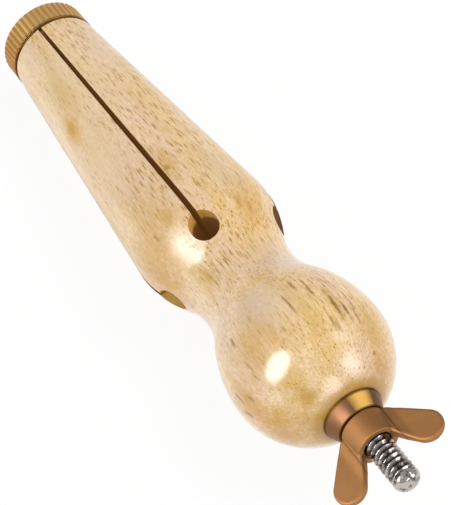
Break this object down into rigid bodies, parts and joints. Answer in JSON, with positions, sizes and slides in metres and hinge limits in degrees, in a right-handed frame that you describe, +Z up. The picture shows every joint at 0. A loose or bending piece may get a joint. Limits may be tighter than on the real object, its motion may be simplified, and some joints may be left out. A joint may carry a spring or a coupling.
{
  "type": "inside ring clamp",
  "caption": "Hand clamp that holds a finger ring from inside: split tapered wooden nose spread by a knurled brass cone, which a wing nut draws in along a steel rod through the ball handle.",
  "frame": {"origin": "on the surface that the clamp lies on, below the middle of its overall length", "axes": "+X along the tool from the cap to the wing nut, +Z up, +Y to the back; the tool's own axis rises about four degrees towards +X, because it lies on the cap's rim and on the shoulder"},
  "size_m": [0.1286, 0.029, 0.0304],
  "materials": {
    "wood": "clear gloss lacquer over turned pale hardwood",
    "turned_brass": "turned and knurled, slightly tarnished",
    "cast_brass": "cast and tumbled, satin",
    "steel": "bright plated thread"
  },
  "bodies": {
    "handle": {"wooden_handle": "wood", "ferrule": "turned_brass"},
    "drawbar": {"draw_rod": "steel", "expander_cap": "turned_brass"},
    "nut": {"wing_nut": "cast_brass"},
    "top_jaw": {"jaw_top": "wood"},
    "front_jaw": {"jaw_front": "wood"},
    "bottom_jaw": {"jaw_bottom": "wood"},
    "back_jaw": {"jaw_back": "wood"}
  },
  "joints": [
    {"name": "nut_spin", "type": "hinge", "parent": "handle", "child": "nut", "pos_m": [0.04969, 0, 0.01717], "axis": [-0.9971, 0, -0.0763], "range_deg": [0, 240]},
    {"name": "rod_draw", "type": "slide", "parent": "handle", "child": "drawbar", "axis": [0.9971, 0, 0.0763], "range_m": [0, 0.0007055]},
    {"name": "top_jaw_flex", "type": "hinge", "parent": "handle", "child": "top_jaw", "pos_m": [0.00515, 0.00493, 0.0244], "axis": [0.0321, 0.907, -0.4198], "range_deg": [0, 1.16]},
    {"name": "front_jaw_flex", "type": "hinge", "parent": "handle", "child": "front_jaw", "pos_m": [0.00559, -0.01061, 0.01873], "axis": [-0.0692, 0.421, 0.9044], "range_deg": [0, 1.16]},
    {"name": "bottom_jaw_flex", "type": "hinge", "parent": "handle", "child": "bottom_jaw", "pos_m": [0.00677, -0.00493, 0.00324], "axis": [-0.0321, -0.907, 0.4198], "range_deg": [0, 1.16]},
    {"name": "back_jaw_flex", "type": "hinge", "parent": "handle", "child": "back_jaw", "pos_m": [0.00634, 0.01061, 0.00891], "axis": [0.0692, -0.421, -0.9044], "range_deg": [0, 1.16]}
  ],
  "couplings": [
    {"joint": "nut_spin", "follows": "rod_draw", "rad_per_m": 5936.9},
    {"joint": "top_jaw_flex", "follows": "rod_draw", "rad_per_m": 28.349},
    {"joint": "front_jaw_flex", "follows": "rod_draw", "rad_per_m": 28.349},
    {"joint": "bottom_jaw_flex", "follows": "rod_draw", "rad_per_m": 28.349},
    {"joint": "back_jaw_flex", "follows": "rod_draw", "rad_per_m": 28.349}
  ]
}
